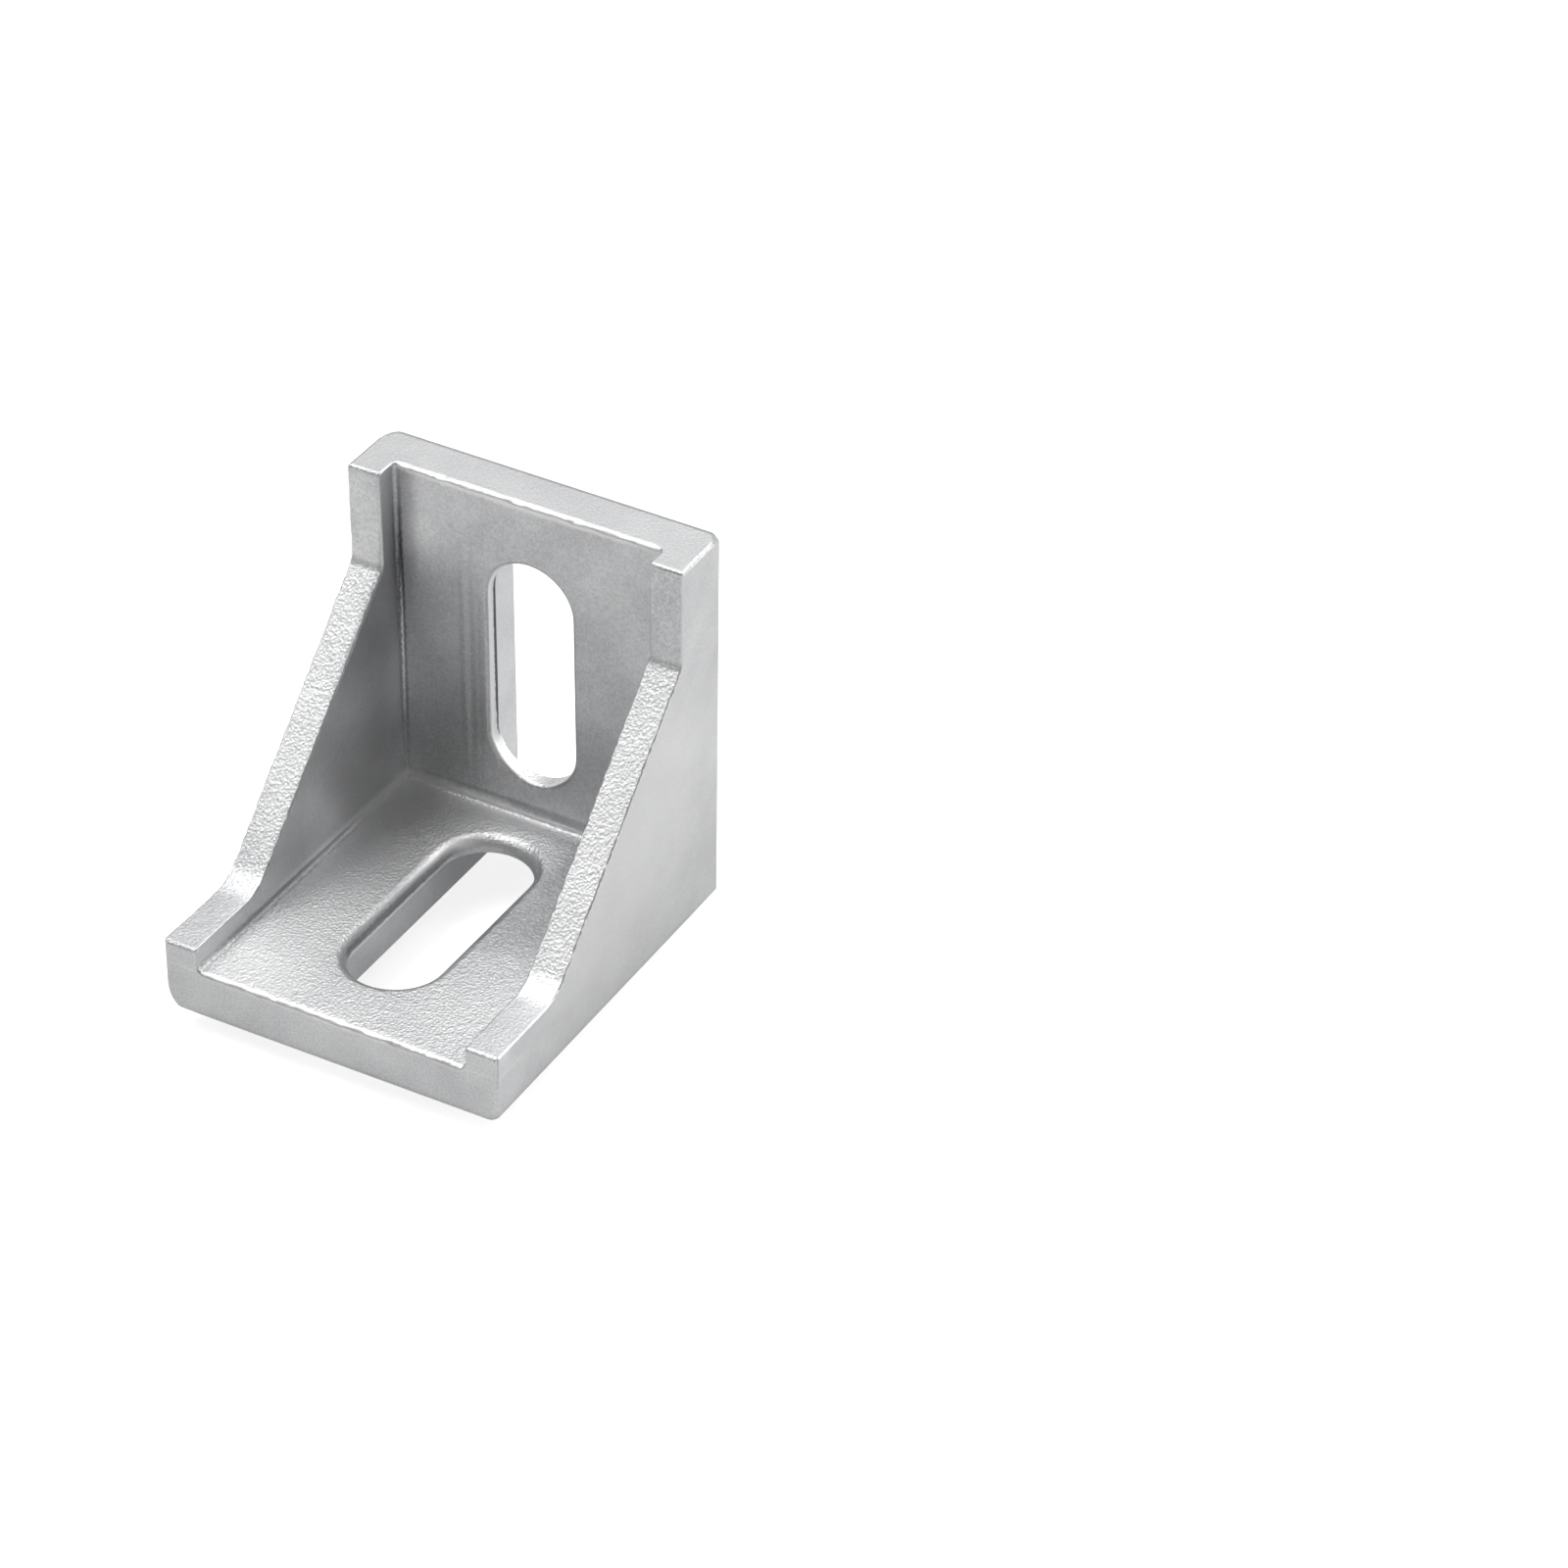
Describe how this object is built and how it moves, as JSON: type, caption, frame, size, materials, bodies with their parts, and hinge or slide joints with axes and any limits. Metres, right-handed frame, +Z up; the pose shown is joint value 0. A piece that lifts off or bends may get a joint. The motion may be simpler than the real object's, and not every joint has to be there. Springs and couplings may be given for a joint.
{
  "type": "t slot corner bracket",
  "caption": "Right-angle die-cast bracket with two slotted legs, two tapering side webs and locating tabs, for joining slotted profiles at a corner.",
  "frame": {"origin": "middle of the outer corner edge, where the base mounting face (z = 0) meets the back mounting face (y = 0)", "axes": "+X across the width, +Y out of the back mounting face, +Z up along the back leg. The base leg runs to -Y, and the base mounting face looks to -Z"},
  "size_m": [0.035, 0.0417, 0.0417],
  "materials": {
    "cast_aluminium": "satin shot-blasted die casting, light silver grey"
  },
  "bodies": {
    "root": {"bracket": "cast_aluminium"}
  },
  "joints": []
}
